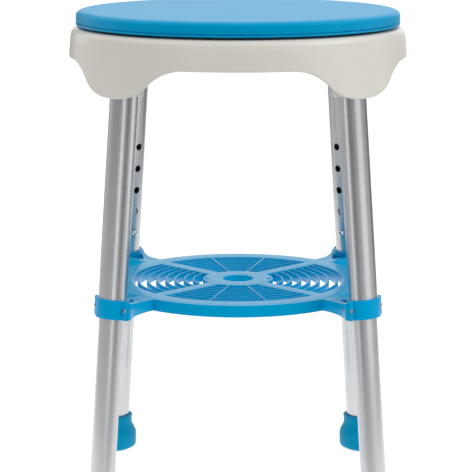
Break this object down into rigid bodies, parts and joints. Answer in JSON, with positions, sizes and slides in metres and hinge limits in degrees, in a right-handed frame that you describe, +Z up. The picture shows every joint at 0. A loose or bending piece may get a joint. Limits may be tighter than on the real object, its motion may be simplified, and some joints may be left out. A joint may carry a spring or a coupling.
{
  "type": "shower stool",
  "caption": "Round shower stool with a blue swivel seat on a white base, telescoping splayed metal legs on snap buttons, a slatted blue shelf and rubber feet.",
  "frame": {"origin": "on the floor under the middle of the stool", "axes": "+Z up through the seat's pivot; -Y is the front, where two legs stand, and +X is to the right seen from the front"},
  "size_m": [0.3618, 0.3618, 0.5312],
  "materials": {
    "seat_foam": "satin",
    "blue_tray": "gloss",
    "white_shell": "gloss",
    "white_bush": "satin",
    "leg_tube": "satin",
    "blue_shelf": "gloss",
    "blue_rubber": "matte",
    "bright_steel": "polished",
    "zinc_steel": "satin"
  },
  "bodies": {
    "frame": {"seat_base": "white_shell", "glide_ring": "white_bush", "pivot_bush": "white_bush", "leg_screws": "zinc_steel", "shelf": "blue_shelf", "collar_screws": "zinc_steel", "upper_leg_fl": "leg_tube", "upper_leg_fr": "leg_tube", "upper_leg_rr": "leg_tube", "upper_leg_rl": "leg_tube", "collar_fl": "blue_shelf", "collar_fr": "blue_shelf", "collar_rr": "blue_shelf", "collar_rl": "blue_shelf"},
    "seat": {"seat_pad": "seat_foam", "swivel_tray": "blue_tray", "pivot_bolt": "zinc_steel", "pivot_washer": "zinc_steel", "pivot_nut": "zinc_steel"},
    "lower_leg_fl": {"lower_leg_fl": "leg_tube", "foot_fl": "blue_rubber", "foot_washer_fl": "zinc_steel", "snap_spring_fl": "bright_steel"},
    "button_fl": {"snap_button_fl": "bright_steel"},
    "lower_leg_fr": {"lower_leg_fr": "leg_tube", "foot_fr": "blue_rubber", "foot_washer_fr": "zinc_steel", "snap_spring_fr": "bright_steel"},
    "button_fr": {"snap_button_fr": "bright_steel"},
    "lower_leg_rr": {"lower_leg_rr": "leg_tube", "foot_rr": "blue_rubber", "foot_washer_rr": "zinc_steel", "snap_spring_rr": "bright_steel"},
    "button_rr": {"snap_button_rr": "bright_steel"},
    "lower_leg_rl": {"lower_leg_rl": "leg_tube", "foot_rl": "blue_rubber", "foot_washer_rl": "zinc_steel", "snap_spring_rl": "bright_steel"},
    "button_rl": {"snap_button_rl": "bright_steel"}
  },
  "joints": [
    {"name": "seat_swivel", "type": "hinge", "parent": "frame", "child": "seat", "pos_m": [0, 0, 0.515], "axis": [0, 0, 1], "continuous": true},
    {"name": "leg_slide_fl", "type": "slide", "parent": "frame", "child": "lower_leg_fl", "axis": [0.064, 0.064, 0.9959], "range_m": [0, 0.1016], "deforming": ["snap_button_fl"]},
    {"name": "button_press_fl", "type": "slide", "parent": "lower_leg_fl", "child": "button_fl", "axis": [-0.7042, -0.7042, 0.0905], "range_m": [0, 0.0045], "stiffness_N_per_m": 1500, "springref_m": -0.002, "deforming": ["snap_spring_fl"]},
    {"name": "leg_slide_fr", "type": "slide", "parent": "frame", "child": "lower_leg_fr", "axis": [-0.064, 0.064, 0.9959], "range_m": [0, 0.1016], "deforming": ["snap_button_fr"]},
    {"name": "button_press_fr", "type": "slide", "parent": "lower_leg_fr", "child": "button_fr", "axis": [0.7042, -0.7042, 0.0905], "range_m": [0, 0.0045], "stiffness_N_per_m": 1500, "springref_m": -0.002, "deforming": ["snap_spring_fr"]},
    {"name": "leg_slide_rr", "type": "slide", "parent": "frame", "child": "lower_leg_rr", "axis": [-0.064, -0.064, 0.9959], "range_m": [0, 0.1016], "deforming": ["snap_button_rr"]},
    {"name": "button_press_rr", "type": "slide", "parent": "lower_leg_rr", "child": "button_rr", "axis": [0.7042, 0.7042, 0.0905], "range_m": [0, 0.0045], "stiffness_N_per_m": 1500, "springref_m": -0.002, "deforming": ["snap_spring_rr"]},
    {"name": "leg_slide_rl", "type": "slide", "parent": "frame", "child": "lower_leg_rl", "axis": [0.064, -0.064, 0.9959], "range_m": [0, 0.1016], "deforming": ["snap_button_rl"]},
    {"name": "button_press_rl", "type": "slide", "parent": "lower_leg_rl", "child": "button_rl", "axis": [-0.7042, 0.7042, 0.0905], "range_m": [0, 0.0045], "stiffness_N_per_m": 1500, "springref_m": -0.002, "deforming": ["snap_spring_rl"]}
  ]
}
